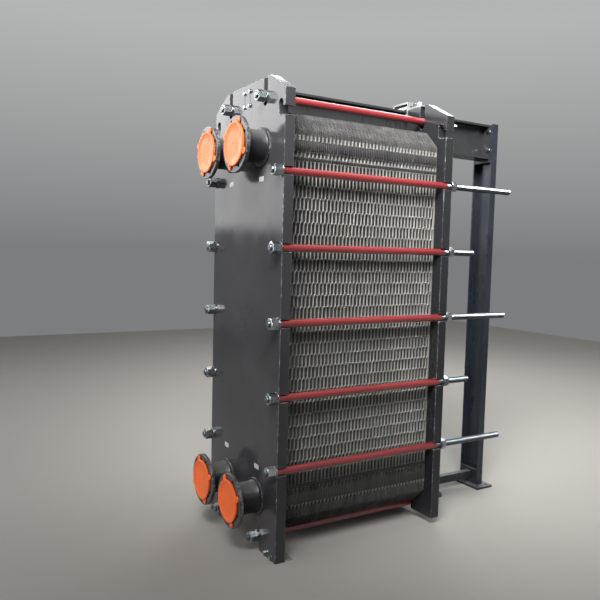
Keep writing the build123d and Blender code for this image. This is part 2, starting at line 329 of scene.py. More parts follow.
upright_grain, rod_grain = (1.0, 1.0, 0.25), (1.0, 0.2, 1.0)
zinc = metal("zinc_plate", (0.46, 0.50, 0.51), (0.24, 0.27, 0.28), 0.2, 0.36, 40.0)
rod_zinc = metal("rod_zinc", (0.20, 0.225, 0.245), (0.13, 0.15, 0.165), 0.3, 0.45, 40.0)
galvanised = metal("galvanised_strap", (0.36, 0.37, 0.355), (0.24, 0.25, 0.24), 0.4, 0.6, 30.0, share=0.5)
stainless = metal("pressed_stainless", (0.72, 0.71, 0.66), (0.52, 0.51, 0.475), 0.34, 0.48, 12.0,
                  upright_grain, 0.7)
# A darker copy of the stainless steel, which is painted shade on the plain stretches, corners and rims.
dull_stainless = metal("dull_stainless", (0.24, 0.237, 0.232), (0.13, 0.128, 0.126), 0.42, 0.55, 20.0,
                       upright_grain, 0.7)
gasket_rubber = plastic("gasket_rubber", (0.013, 0.013, 0.0125), (0.009, 0.009, 0.009), 0.6, 20.0, 0.0004)
sleeve_red = plastic("sleeve_red", (0.21, 0.013, 0.015), (0.16, 0.009, 0.011), 0.4, 9.0, 0.0002, rod_grain)
for socket, value in (("Specular IOR Level", 0.6), ("Coat Weight", 1.0), ("Coat Roughness", 0.22)):
    sleeve_red.node_tree.nodes["Principled BSDF"].inputs[socket].default_value = value
cover_orange = plastic("cover_orange", (0.80, 0.122, 0.006), (0.74, 0.1, 0.005), 0.42, 6.0, 0.0005)
print("metals and plastics ready:", len(bpy.data.materials))

# %% [markdown]
# The heavy plates are flame cut. Their outline is a simple polygon, with open slots that let a rod
# swing in from the side and hooked slots for the crane. Cutting slot-shaped tools out of one prism
# with a boolean follows the workshop, and a small bevel afterwards catches the light along every
# edge as thick paint does.

# %% Slot tools and the plate's outline
rod_radius = 0.018
sleeve_radius = 0.020
slot_radius = 0.021
side_rod_x = 0.399
side_rod_heights = [0.475 + 0.3775 * i for i in range(5)]
top_rod_x, top_rod_z = 0.210, 2.374
bottom_rod_x, bottom_rod_z = 0.218, 0.075
hook_radius = 0.0215
hook_x, hook_z, hook_rise = 0.375, 2.275, 0.038
port_x, port_heights = 0.181, (2.123, 0.278)
top_slot_floor = top_rod_z - 0.024
shoulder_drop, top_half = 0.089, 0.255
past_side, past_top, past_floor = 0.5, 2.6, 0.1
cut_margin = 0.01
edge_bevel = 0.0018


def slot_tool(bm, start, end, radius, low_y, high_y):
    """A round ended cutter from one X, Z point to another."""
    start, end = Vector((start[0], 0, start[1])), Vector((end[0], 0, end[1]))
    along = (end - start).normalized()
    first = math.atan2(along.z, along.x) + math.pi / 2
    turns = [first + math.pi * i / 16 for i in range(17)]
    half = [Vector((radius * math.cos(a), 0, radius * math.sin(a))) for a in turns]
    outline = [start + p for p in half] + [end - p for p in half]
    prism(bm, [(p.x, p.z) for p in outline], low_y, high_y)


def cut_away(plate, tools, material, crossing=True):
    """Cut the tools, given as a bmesh, out of a piece; crossing says that tools overlap."""
    cutter = piece_from(tools, plate.name + "_cutter", material)
    cut = plate.modifiers.new("slots", "BOOLEAN")
    cut.object, cut.solver, cut.use_self = cutter, "EXACT", crossing
    bake_modifiers(plate)
    bpy.data.objects.remove(cutter)


def heavy_plate(name, material, node, low_y, high_y, extra_cuts):
    """The slotted plate, cut from a prism with both plates' shared tools and its own."""
    bottom, top = (corner.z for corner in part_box(node))
    right = [(plate_half, bottom), (plate_half, top - shoulder_drop), (top_half, top)]
    outline = right + [(-x, z) for x, z in reversed(right)]
    body = bmesh.new()
    prism(body, outline, low_y, high_y)
    plate = piece_from(body, name, material, node)
    tools = bmesh.new()
    near, far = low_y - cut_margin, high_y + cut_margin
    slots = [((side_rod_x, height), (past_side, height), slot_radius) for height in side_rod_heights]
    slots += [
        ((top_rod_x, top_slot_floor), (top_rod_x, past_top), slot_radius),
        ((bottom_rod_x, bottom_rod_z), (bottom_rod_x, bottom - past_floor), slot_radius),
        ((hook_x, hook_z), (past_side, hook_z), hook_radius),
        ((hook_x, hook_z), (hook_x, hook_z + hook_rise), hook_radius),
    ]
    for side in (-1, 1):
        for (from_x, from_z), (to_x, to_z), radius in slots:
            slot_tool(tools, (side * from_x, from_z), (side * to_x, to_z), radius, near, far)
    extra_cuts(tools, near, far)
    cut_away(plate, tools, material)
    # The bevels take the worn edge finish, whose light grey also paints their highlight.
    plate.data.materials.append(worn_edge)
    edge = plate.modifiers.new("soft_edges", "BEVEL")
    edge.width, edge.segments = edge_bevel, 2
    edge.limit_method, edge.angle_limit = "ANGLE", math.radians(40)
    edge.material = 1
    bake_modifiers(plate)
    plate.data.set_sharp_from_angle(angle=math.radians(20))
    return plate


# %% [markdown]
# The frame plate stands on two feet and has two short grooves between its fixing bolts. The
# pressure plate hangs, so it is notched for the beam above and the guide bar below.

# %% The frame plate and the pressure plate
foot_gap_half, foot_gap_top_half, foot_gap_height = 0.215, 0.231, 0.071
beam_notch_half, beam_notch_gap = 0.076, 0.006
guide_notch_half, guide_notch_gap = 0.023, 0.003
groove_x, groove_low, groove_high = 0.032, 2.376, 2.418
groove_radius, groove_depth = 0.0022, 0.003


def frame_cuts(tools, near, far):
    """The gap between the feet."""
    right = [(foot_gap_half, -past_floor), (foot_gap_half, 0.0), (foot_gap_top_half, foot_gap_height)]
    gap = [(-x, z) for x, z in right] + right[::-1]
    prism(tools, gap, near, far)


def pressure_cuts(tools, near, far):
    """The notch round the carrying beam and the one over the guide bar."""
    guide_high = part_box("guide_bar")[1].z
    block(tools, (-beam_notch_half, near, beam_low.z - beam_notch_gap), (beam_notch_half, far, past_top))
    block(tools, (-guide_notch_half, near, -past_floor),
          (guide_notch_half, far, guide_high + guide_notch_gap))


frame_plate = heavy_plate("front_plate", plate_enamel, "frame_plate",
                          front_face, frame_back, frame_cuts)
pressure_plate = heavy_plate("rear_plate", rear_enamel, "pressure_plate",
                             pressure_front, pressure_back, pressure_cuts)
grooves = bmesh.new()
for x in (-groove_x, groove_x):
    slot_tool(grooves, (x, groove_low), (x, groove_high), groove_radius,
              front_face - cut_margin, front_face + groove_depth)
cut_away(frame_plate, grooves, plate_enamel)
frame_plate.data.set_sharp_from_angle(angle=math.radians(20))
print("plates have", len(frame_plate.data.polygons), "and", len(pressure_plate.data.polygons), "faces")

# %% [markdown]
# The plate pack is the heart of this machine. Each sheet is pressed from 0.8 mm steel.
# Outside its gasket the margin is folded into a wave, and the next sheet carries the same wave
# upside down, so that crests meet crests and the edge of the pack looks like a honeycomb. Light
# falls on the walls of the cells and the rubber behind stays black. It is modelled as it is made:
# one flat sheet whose margin is moved along Y by a wave. A station of the wave is a height and the
# share of the full swing that the sheet takes there.

# %% The wave along a sheet's side
pitch = 0.0116
sheet_thickness = 0.0008
swing = (pitch - sheet_thickness) / 2
row_top, row_bottom, row_count = 2.0505, 0.368, 27
row = (row_top - row_bottom) / row_count


def cell(top, low, sign, ramp=0.0095):
    """Heights and waves of one pressed cell, from its top down, with rounded ends."""
    ends = [(0.0, 0.0), (0.35 * ramp, 0.5 * sign), (0.7 * ramp, 0.86 * sign), (ramp, sign)]
    return [(top - d, w) for d, w in ends] + [(low + d, w) for d, w in reversed(ends)]


side_wave = [(2.199, 0.0), (2.190, 0.25), (2.178, 0.6), (2.169, 0.95)]
side_wave += [(2.162, 1.0), (2.156, 0.7), (2.153, 0.0)]
side_wave += cell(2.099, 2.0685, -1, 0.012)
for number in range(row_count):
    top = row_top - number * row
    side_wave += cell(top, top - row, -1 if number % 2 else 1)[(1 if number else 0):]
side_wave += [(0.347, 0.0), (0.344, -0.7), (0.339, -1.0), (0.332, -0.9), (0.322, -0.4), (0.311, 0.0)]
side_wave += [(0.258, 0.0), (0.255, 0.7), (0.250, 1.0), (0.244, 0.8), (0.236, 0.3), (0.226, 0.0)]
print("a side has", len(side_wave), "stations and rows of %.1f mm" % (row * 1000))

# %% [markdown]
# At the 45 degree corners the wave is a plain zigzag, so that the edges of neighbouring sheets cross
# in a lattice of diamonds. The margin is drawn as a path of stations from the top of one corner to
# the foot of the other, and each station carries three points: the rim, a point just short of the
# rubber, where nine tenths of the wave are left, and the line where it has died away. So a cell
# has nearly straight walls as far in as one can see.

# %% The margin's path
side_depths, corner_depths = (0.0, 0.0108, 0.014), (0.0, 0.006, 0.010)
wave_shares = (1.0, 0.9, 0.0)
sheet_corner = 0.095
lean = math.sqrt(0.5)
mitre = math.tan(math.radians(22.5))
zigzag_start, zigzag_step = 0.004, 0.0215
zigzag_places = [zigzag_start + zigzag_step * i for i in range(7)]
shoulder, toe = sheet_high - sheet_corner, sheet_low + sheet_corner


def corner_stations(turn_z, up):
    """Stations along a 45 degree cut, from its outer end at height turn_z."""
    made = []
    for number, along in enumerate(zigzag_places + [sheet_corner / lean]):
        wave = (0, 1, 0, -1)[number % 4] if number < len(zigzag_places) else 0
        rim = (sheet_half - along * lean, turn_z + up * along * lean)
        made.append(([(rim[0] - depth * lean, rim[1] - up * depth * lean) for depth in corner_depths], wave))
    return made


def turning_station(turn_z, up):
    """The station where the side meets a corner, with its inner points on the mitre."""
    return [(sheet_half - depth, turn_z - up * depth * mitre) for depth in side_depths], 0


margin = corner_stations(shoulder, 1)[::-1] + [turning_station(shoulder, 1)]
margin += [([(sheet_half - depth, z) for depth in side_depths], wave) for z, wave in side_wave]
margin += [turning_station(toe, -1)] + corner_stations(toe, -1)
print("the margin has", len(margin), "stations")

# %% [markdown]
# Each sheet hangs by a dovetail that hooks over the beam's lower flange with a small gap. Its
# slanting sides pass the flange's edges, so they are placed from there.

# %% The dovetail over the beam
hang_gap = 0.0003
hook_flare = 0.048
hook_floor = beam_low.z - 0.006
hook_slope = hook_flare / (sheet_high - hook_floor)
hook_side = beam_high.x + hang_gap * math.sqrt(1 + hook_slope ** 2)
hook_flange_z = beam_low.z + 0.013
hook_top = hook_side - hook_slope * (sheet_high - hook_flange_z)
hook_low = hook_side + hook_slope * (hook_flange_z - hook_floor)
hook = [(hook_top, sheet_high), (hook_low, hook_floor), (-hook_low, hook_floor), (-hook_top, sheet_high)]
print("the dovetail is %.0f mm wide below and %.0f mm above" % (hook_low * 2000, hook_top * 2000))

# %% [markdown]
# With the path known, a sheet is three strips: the walls of the cells, the fade to flat, and the
# middle from side to side. The top of the middle is one face with many corners, because it holds
# the dovetail. Both faces and the rim are made, so each sheet is a closed solid that can be
# measured or printed.

# %% One pressed sheet
def pressed_sheet(bm, front, sign):
    """Add one sheet whose front face lies at Y = front, with the wave turned by sign."""
    rims = []
    for flat in (front, front + sheet_thickness):
        sides = []
        for side in (1, -1):
            sides.append([[bm.verts.new((side * x, flat + sign * wave * swing * share, z))
                           for (x, z), share in zip(points, wave_shares)] for points, wave in margin])
        right, left = sides
        for side in sides:
            for high, low in zip(side, side[1:]):
                bm.faces.new((high[0], high[1], low[1], low[0]))
                bm.faces.new((high[1], high[2], low[2], low[1]))
        first = next(i for i, station in enumerate(margin) if station[0][2][1] < hook_floor - 0.002)
        for i in range(first, len(margin) - 1):
            bm.faces.new((right[i][2], left[i][2], left[i + 1][2], right[i + 1][2]))
        notch = [bm.verts.new((x, flat, z)) for x, z in hook]
        crown = [right[i][2] for i in range(first, -1, -1)] + [right[0][1], right[0][0]] + notch
        crown += [left[0][0], left[0][1]] + [left[i][2] for i in range(first + 1)]
        bm.faces.new(crown)
        bm.faces.new(right[-1][::-1] + left[-1])
        rims.append([s[0] for s in right] + [s[0] for s in reversed(left)] + notch[::-1])
    front_rim, back_rim = rims
    for i in range(len(front_rim)):
        j = (i + 1) % len(front_rim)
        bm.faces.new((front_rim[i], front_rim[j], back_rim[j], back_rim[i]))


# %% [markdown]
# The sheets stand at one pitch and turn their wave every other time. The last one lies flat on the
# pressure plate. Only the pressed bands keep the bright steel. All other faces and the sheared rims
# take the darker copy, which paints the shade that falls there.

# %% All the sheets
group_count, sheets_per_group = 5, 17
sheet_count = group_count * sheets_per_group
groups = {i + 1: range(i * sheets_per_group, (i + 1) * sheets_per_group) for i in range(group_count)}
# Bands that keep the bright steel. Everything else gets the darker steel as painted shade.
bright_bands = [(0.246, 0.258), (0.336, 0.347), (row_bottom, row_top + 0.001)]
bright_bands += [(2.069, 2.085), (2.154, 2.176)]
rim_depth = 0.0002
for group, numbers in groups.items():
    bm = bmesh.new()
    for number in numbers:
        sign = 1 if number % 2 else -1
        if number == sheet_count - 1:
            sign = 0
        pressed_sheet(bm, first_sheet + number * pitch, sign)
    sheets = piece_from(bm, "pressed_sheets_%d" % group, stainless, "channel_plates_%d" % group, smooth=38)
    sheets.data.materials.append(dull_stainless)
    # Faces outside the pressed bands, and the rims, take the darker steel as painted shade.
    for face in sheets.data.polygons:
        height = face.center.z
        pressed = any(low < height < high for low, high in bright_bands)
        sheared = abs(face.center.x) > sheet_half - rim_depth
        face.material_index = 0 if pressed and not sheared else 1
print(sheet_count, "sheets in", group_count, "pieces,", len(sheets.data.polygons), "faces each")

# %% [markdown]
# The gasket is a bead of black rubber that runs round each sheet just inside the wavy margin. Its
# outer side shows at the back of every cell. Where the margin is plain it spreads into wide tabs
# that clip it to the sheet, close behind the rim. Their black also stands in for the shade in the
# narrow gaps there, so these stretches look darker.

# %% Gaskets between the sheets
# The tabs sit close behind the rim, so that their black rubber stands in for shade.
cell_depth, tab_depth, corner_depth = 0.0110, 0.0014, 0.0065
cut_start, cut_end = 0.006, 0.075
bead_lip, bead_round, seat_gap = 0.0012, 0.0015, 0.0001
gasket_bands = (
    (2.2, 2.154, cell_depth), (2.148, 2.104, tab_depth), (2.099, 2.069, cell_depth),
    (2.065, 2.055, tab_depth), (row_top, row_bottom, cell_depth), (0.363, 0.351, tab_depth),
    (0.347, 0.320, cell_depth), (0.312, 0.262, tab_depth), (0.258, 0.238, cell_depth),
)


def along_cut(along, turn_z, up):
    """The gasket's place beside a 45 degree cut, measured across from its outer end."""
    inward = corner_depth * lean
    return sheet_half - along - inward, turn_z + up * (along - inward)


def gasket_path():
    """The gasket's outer line down the right side, from the path of the margin."""
    end_x = sheet_half - sheet_corner - 0.02
    line = [(end_x, sheet_high - 0.030), along_cut(cut_end, shoulder, 1), along_cut(cut_start, shoulder, 1)]
    for top, low, depth in gasket_bands:
        line += [(sheet_half - depth, top), (sheet_half - depth, low)]
    return line + [along_cut(cut_start, toe, -1), along_cut(cut_end, toe, -1), (end_x, sheet_low + 0.030)]


right_line = gasket_path()
outline = right_line + [(-x, z) for x, z in reversed(right_line)]
inner = [(x - math.copysign(bead_lip, x), z) for x, z in outline]
for group, numbers in groups.items():
    bm = bmesh.new()
    for number in numbers:
        back = first_sheet + number * pitch - seat_gap
        front = back - (pitch - sheet_thickness) + 2 * seat_gap
        stack = ((inner, front), (outline, front + bead_round), (outline, back - bead_round), (inner, back))
        skin_rings(bm, [[Vector((x, y, z)) for x, z in points] for points, y in stack])
    piece_from(bm, "gaskets_%d" % group, gasket_rubber, "gasket_pads_%d" % group, smooth=60)
print("gasket line of", len(outline), "points, tabs", tab_depth * 1000, "mm behind the rim")

# %% [markdown]
# The tie rods are M36 studding, zinc plated. A real thread is a ridge wound round the bar, and it
# can be skinned the same way: rows that alternate between crest and root and climb by one pitch
# per turn, where the last column joins the first one a turn higher. The ends are clamped flat and
# filled, so the thread stays one closed solid.

# %% A threaded bar
thread_pitch = 0.004
thread_root = 0.0158
thread_sides = 20
spare_rows = 3
end_chamfer = 0.001


def threaded_bar(bm, place, start, end):
    """A threaded bar along Y between two depths, centred on the X and Z of place."""
    length = end - start
    rows = int(2 * length / thread_pitch) + 2 * spare_rows
    verts = []
    for i in range(thread_sides):
        angle = math.tau * i / thread_sides
        column = []
        for k in range(rows):
            depth = (k - spare_rows) * thread_pitch / 2 + thread_pitch * i / thread_sides
            radius = rod_radius if k % 2 else thread_root
            edge = min(depth, length - depth)
            radius = min(radius, thread_root - end_chamfer + max(edge, 0.0))
            depth = start + min(max(depth, 0.0), length)
            spot = Vector((radius * math.cos(angle), depth, radius * math.sin(angle)))
            column.append(bm.verts.new(place + spot))
        verts.append(column)
    for i in range(thread_sides):
        j, lift = (i + 1) % thread_sides, 2 if i == thread_sides - 1 else 0
        for k in range(rows - 1):
            if k + 1 - lift < 0 or k - lift < 0:
                continue
            bm.faces.new((verts[i][k], verts[j][k - lift], verts[j][k + 1 - lift], verts[i][k + 1]))


# %% [markdown]
# Beyond the clamped ends the last column can't meet the first one, but there the rows lie on one
# another. So merging points closes the ends, and the two round holes that remain are filled.

# %% Closing a thread
def close_thread(bm):
    """Merge the clamped rows and fill the two end holes of every bar."""
    bmesh.ops.remove_doubles(bm, verts=bm.verts, dist=1e-5)
    bmesh.ops.dissolve_degenerate(bm, edges=bm.edges, dist=1e-6)
    loops = [edge for edge in bm.edges if len(edge.link_faces) == 1]
    bmesh.ops.holes_fill(bm, edges=loops, sides=0)
    return len(loops)


# %% [markdown]
# A hexagon nut is a hexagonal bar that was turned to a cone at each end, which cuts its corners in
# arcs. Around the ring, the edge lies lower where the hexagon reaches out past the cone.

# %% Nuts and washers
cone_reach, cone_slope, face_share = 0.97, 0.58, 0.95


def hexagon_nut(bm, place, start, end, flats, bore, steps=6, turn=0.0):
    """A chamfered nut between two depths; bore 0 makes it a solid head."""
    apothem = flats / 2
    count = 6 * steps
    inner, low, high, outer = [], [], [], []
    for i in range(count):
        around = math.tau * i / count
        reach = apothem / math.cos((around + math.pi / 6) % (math.pi / 3) - math.pi / 6)
        drop = max(0.0, reach - apothem * cone_reach) * cone_slope
        spin = Vector((math.cos(around + turn), 0, math.sin(around + turn)))
        inner.append(spin * apothem * face_share + Vector((0, start, 0)))
        low.append(spin * reach + Vector((0, start + drop, 0)))
        high.append(spin * reach + Vector((0, end - drop, 0)))
        outer.append(spin * apothem * face_share + Vector((0, end, 0)))
    rings = [inner, low, high, outer]
    if bore:
        rings = [ring(bore, start, count, turn)] + rings + [ring(bore, end, count, turn)]
    skin_rings(bm, rings, place, closed=bool(bore))


def washer(bm, place, start, end, radius, bore, sides=40):
    """A flat washer with softened rims."""
    soft = min(0.0008, (end - start) / 3)
    rings = [ring(bore, start, sides), ring(radius - soft, start, sides), ring(radius, start + soft, sides)]
    rings += [ring(radius, end - soft, sides), ring(radius - soft, end, sides), ring(bore, end, sides)]
    skin_rings(bm, rings, place, closed=True)


# %% The rods with their nuts and sleeves
nut_flats = 0.055
washer_radius, washer_thickness = 0.0315, 0.006
front_stack, rear_stack = 0.052, 0.038
front_stub = 0.010
sleeve_end = pressure_back - 0.030
long_tail, short_tail = 0.490, 0.205
hidden_front, hidden_rear, overlap = 0.03, 0.02, 0.01
tube_gap = 0.0003


def tie_rod(bm, x, z, tail):
    """A rod, threaded where it shows, with a plain shank hidden in its sleeve."""
    place = Vector((x, 0, z))
    threaded_bar(bm, place, front_face - front_stack - front_stub, front_face + hidden_front)
    threaded_bar(bm, place, sleeve_end - hidden_rear, pressure_back + tail)
    shank = (front_face + hidden_front - overlap, sleeve_end - hidden_rear + overlap)
    skin_rings(bm, [ring(thread_root, y, 24) for y in shank], place)


def nut_pair(bm, x, z, turn):
    """A washer and a nut on the frame plate, and another pair on the pressure plate."""
    place = Vector((x, 0, z))
    for face, away, stack in ((front_face, -1, front_stack), (pressure_back, 1, rear_stack)):
        rims = sorted((face, face + away * washer_thickness))
        washer(bm, place, *rims, washer_radius, rod_radius + 0.0005)
        ends = sorted((face + away * washer_thickness, face + away * stack))
        hexagon_nut(bm, place, *ends, nut_flats, rod_radius - 0.001, turn=turn)


def sleeve(bm, x, z):
    """The red plastic tube over the rod, from the frame plate's face into the pressure plate."""
    low = front_face + tube_gap
    outside = [ring(sleeve_radius, low + (sleeve_end - low) * i / 12, 32) for i in range(13)]
    inside = [ring(rod_radius + tube_gap, y, 32) for y in (sleeve_end, low)]
    skin_rings(bm, outside + inside, Vector((x, 0, z)), closed=True)


# %% All four groups of rods
side_tails = (long_tail, short_tail, long_tail, short_tail, long_tail)
side_rods = list(zip(side_rod_heights, side_tails))
rod_groups = {
    "left": [(-side_rod_x, z, tail) for z, tail in side_rods],
    "right": [(side_rod_x, z, tail) for z, tail in side_rods],
    "top": [(side * top_rod_x, top_rod_z, short_tail) for side in (-1, 1)],
    "bottom": [(side * bottom_rod_x, bottom_rod_z, short_tail) for side in (-1, 1)],
}
for where, rods in rod_groups.items():
    bars, nuts, tubes = bmesh.new(), bmesh.new(), bmesh.new()
    for x, z, tail in rods:
        tie_rod(bars, x, z, tail)
        nut_pair(nuts, x, z, random.uniform(0, math.pi / 3))
        sleeve(tubes, x, z)
    open_edges = close_thread(bars)
    rods_piece = piece_from(bars, "threaded_rods_" + where, rod_zinc, "tie_rods_" + where, smooth=35)
    piece_from(nuts, "hex_nuts_" + where, zinc, "rod_nuts_" + where, smooth=35)
    piece_from(tubes, "red_sleeves_" + where, sleeve_red, "rod_sleeves_" + where, smooth=60)
    print(where, "rods:", len(rods_piece.data.polygons), "faces,", open_edges, "edges closed")

# %% [markdown]
# A connection is a pipe stub with a standard flange, welded to the plate by a collar. It is turned
# in one stack of rings, from the bore's far end over the flange to the collar, and the eight bolt
# holes are drilled by a boolean.

# %% Four connections
flange_radius, flange_thickness = 0.1425, 0.022
face_radius, face_rise = 0.106, 0.002
pipe_radius, bore_radius, collar_radius = 0.084, 0.077, 0.099
bolt_circle_radius, bolt_hole_radius, bolt_holes = 0.120, 0.011, 8
flange_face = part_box("nozzles")[0].y
port_places = [(side * port_x, z) for z in port_heights for side in (-1, 1)]


def on_bolt_circle(x, z, place):
    """The middle of one bolt hole of the flange at X and Z."""
    angle = math.tau * (place + 0.5) / bolt_holes
    return Vector((x + bolt_circle_radius * math.cos(angle), 0, z + bolt_circle_radius * math.sin(angle)))


def connection(bm, x, z):
    """One flanged stub as a closed ring of rings."""
    step = flange_face + face_rise
    back = flange_face + flange_thickness
    weld = front_face - 0.0002
    profile = [(bore_radius, front_face), (bore_radius, flange_face), (face_radius, flange_face),
               (face_radius, step), (flange_radius - 0.002, step), (flange_radius, step + 0.002),
               (flange_radius, back - 0.002), (flange_radius - 0.002, back),
               (pipe_radius + 0.012, back), (pipe_radius + 0.004, back + 0.004), (pipe_radius, back + 0.014),
               (pipe_radius, front_face - 0.016), (pipe_radius + 0.004, front_face - 0.011),
               (collar_radius - 0.001, front_face - 0.010), (collar_radius, front_face - 0.009),
               (collar_radius, weld), (bore_radius + 0.002, weld)]
    skin_rings(bm, [ring(r, y, 96) for r, y in profile], Vector((x, 0, z)), closed=True)


bm = bmesh.new()
for x, z in port_places:
    connection(bm, x, z)
stubs = piece_from(bm, "flanged_stubs", nozzle_enamel, "nozzles", smooth=40)
drills = bmesh.new()
for x, z in port_places:
    for place in range(bolt_holes):
        depths = (flange_face - cut_margin, flange_face + flange_thickness + cut_margin)
        skin_rings(drills, [ring(bolt_hole_radius, y, 24) for y in depths], on_bolt_circle(x, z, place))
cut_away(stubs, drills, nozzle_enamel, crossing=False)
stubs.data.set_sharp_from_angle(angle=math.radians(40))
print("connections have", len(stubs.data.polygons), "faces")

# %% [markdown]
# The enamel is thin on the rims of the flanges and collars, and their light grey also paints the
# highlight along these rims. The flanges' front faces have the frame plate's glossier coat. Both are
# found by how far a face lies from the port's axis.

# %% Thin paint and a painted highlight on the flange rims
rim_width = 0.0025
# Rims and collars take the light grey finish, which is partly thin paint and partly a painted highlight.
stubs.data.materials.append(flange_rim)
stubs.data.materials.append(plate_enamel)
for face in stubs.data.polygons:
    x = min((side * port_x for side in (-1, 1)), key=lambda c: abs(c - face.center.x))
    z = min(port_heights, key=lambda c: abs(c - face.center.z))
    reach = math.hypot(face.center.x - x, face.center.z - z)
    on_flange = reach > flange_radius - rim_width
    on_collar = 0.0975 < reach < 0.101 and face.center.y > front_face - 0.012
    on_front = 0.1 < reach < flange_radius - rim_width and face.center.y < flange_face + 0.003
    face.material_index = 1 if on_flange or on_collar else 2 if on_front else 0
print("rim and front faces:", sum(f.material_index > 0 for f in stubs.data.polygons))

# %% [markdown]
# The orange covers keep dirt out until the unit is piped up. Each is one thin moulding: a shallow
# dished disc with a rolled rim and four lugs, whose pegs push into every second bolt hole.

# %% Port covers
cover_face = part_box("port_covers")[0].y
cover_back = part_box("port_covers")[1].y
cover_radius = 0.111
rib_count, rib_height = 12, 0.0007


def port_cover(bm, x, z, first_place):
    """A dished disc with a dimple, fine ribs and four lugs on every second bolt hole."""
    rim = cover_back - 0.0002
    profile = [(0.0004, 0.0034), (0.004, 0.0034), (0.0055, 0.0016), (0.030, 0.0012), (0.062, 0.0018),
               (0.0965, 0.0016), (0.0985, 0.0003), (0.106, 0.0), (0.1095, 0.0008), (cover_radius, 0.0026)]
    rings = [ring(r, cover_face + d, 8 * rib_count) for r, d in profile]
    rings += [ring(cover_radius, rim, 8 * rib_count)]
    for points in rings[3:6]:
        for point in points[::8]:
            point.y -= rib_height
    skin_rings(bm, rings, Vector((x, 0, z)))
    pad = [(0.0165, rim), (0.0165, cover_face + 0.0065), (0.0150, cover_face + 0.0050),
           (0.0105, cover_face + 0.0050), (0.0095, cover_face + 0.0035), (0.0055, cover_face + 0.0035),
           (0.0045, cover_face + 0.0060)]
    for place in range(first_place, bolt_holes, 2):
        skin_rings(bm, [ring(r, y, 28) for r, y in pad], on_bolt_circle(x, z, place))


bm = bmesh.new()
for x, z in port_places:
    port_cover(bm, x, z, 1 if z == port_heights[0] else 0)
piece_from(bm, "orange_covers", cover_orange, "port_covers", smooth=35)
print("covers stand %.1f mm in front of the flanges" % ((flange_face - cover_face) * 1000))

# %% [markdown]
# Small bolts hold the beam to the frame plate and to the column, and the brackets to the feet. A
# bolt head is the same chamfered hexagon as a nut, without its bore. The nuts on the strap's feet
# are made lying down and turned upright. All go into one mesh, because many tiny objects would
# slow the scene down. A bolt's size is its width over flats, its height and its washer.

# %% Bolts
under_head = 0.0025
fixing_bolt, bracket_bolt, beam_bolt = (0.020, 0.007, 0.0115), (0.018, 0.010, 0.012), (0.024, 0.012, 0.014)
fixing_bolt_heights = (2.434, 2.360)
bracket_bolt_places, bracket_bolt_z = (0.314, 0.378), 0.022
beam_bolt_x, beam_bolt_y, beam_bolt_heights = 0.053, column_low.y + 0.04, (2.417, 2.299)
strap_studs = ((0.110, 0.026), (0.150, 0.030))
strap_washer_thickness, strap_nut_flats, strap_nut_top = 0.003, 0.030, 0.022
stud_radius = 0.0085


def bolt_head(bm, place, flats, height, washer_size):
    """A hexagon head that points towards the front, with a washer under it."""
    washer(bm, place, -under_head, 0.0, washer_size, flats * 0.2, 24)
    hexagon_nut(bm, place, -under_head - height, -under_head, flats, 0.0, 4, turn=random.uniform(0, 1))


def upright_nut(bm, foot, stud):
    """A nut with its washer on a stud that stands up from a foot of the strap."""
    made = bmesh.new()
    washer(made, Vector(), 0.0, strap_washer_thickness, 0.0185, 0.009, 24)
    hexagon_nut(made, Vector(), strap_washer_thickness, strap_nut_top, strap_nut_flats, 0.0, 4,
                turn=random.uniform(0, 1))
    tip = [ring(stud_radius, y, 20) for y in (strap_nut_top - 0.001, stud - 0.001)]
    skin_rings(made, tip + [ring(stud_radius - 0.001, stud, 20)])
    quarter_turn = Matrix.Rotation(math.radians(90), 3, "X")
    bmesh.ops.rotate(made, verts=made.verts, cent=Vector(), matrix=quarter_turn)
    bmesh.ops.translate(made, verts=made.verts, vec=foot)
    carried = bpy.data.meshes.new("carried")
    made.to_mesh(carried)
    made.free()
    bm.from_mesh(carried)
    bpy.data.meshes.remove(carried)


bm = bmesh.new()
for x in (-groove_x, groove_x):
    for z in fixing_bolt_heights:
        bolt_head(bm, Vector((x, front_face, z)), *fixing_bolt)
for side in (-1, 1):
    for x in bracket_bolt_places:
        bolt_head(bm, Vector((side * x, front_face, bracket_bolt_z)), *bracket_bolt)
    for z in beam_bolt_heights:
        bolt_head(bm, Vector((side * beam_bolt_x, beam_bolt_y, z)), *beam_bolt)
strap_low, strap_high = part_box("hanger_yoke")
strap_y = (strap_low.y + strap_high.y) / 2
strap_foot_top = plate_top + 0.0025
for side in (-1, 1):
    for reach, stud in strap_studs:
        upright_nut(bm, Vector((side * reach, strap_y, strap_foot_top)), stud)
bolts = piece_from(bm, "frame_bolts", zinc, smooth=35)
print("bolts and strap nuts:", len(bolts.data.polygons), "faces")

# %% [markdown]
# The solids that stay, such as the beam and the column, only need the right finish in their
# material slots.

# %% Finishes for the solids that stay
finish_of = {
    "carrying_beam": beam_enamel, "support_column": rail_enamel, "guide_bar": rail_enamel,
    "foot_bracket_left": galvanised, "foot_bracket_right": galvanised,
    "hanger_yoke": galvanised, "hanger_roller": zinc,
}
for node, finish in finish_of.items():
    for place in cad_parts[node].material_slots:
        place.material = finish
print("solids dressed:", [n for n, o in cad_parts.items() if not o.hide_render])

# %% [markdown]
# Small white plates sit by the connections: thin, with rounded corners, and left bare here.

# %% Bare label plates
def rounded(half_width, half_height, corner, steps=4):
    """A rectangle with rounded corners, as X, Z pairs about its middle."""
    points = []
    for x, z, start in ((1, 1, 0), (-1, 1, 90), (-1, -1, 180), (1, -1, 270)):
        for i in range(steps + 1):
            angle = math.radians(start + 90 * i / steps)
            points.append((x * (half_width - corner) + corner * math.cos(angle),
                           z * (half_height - corner) + corner * math.sin(angle)))
    return points


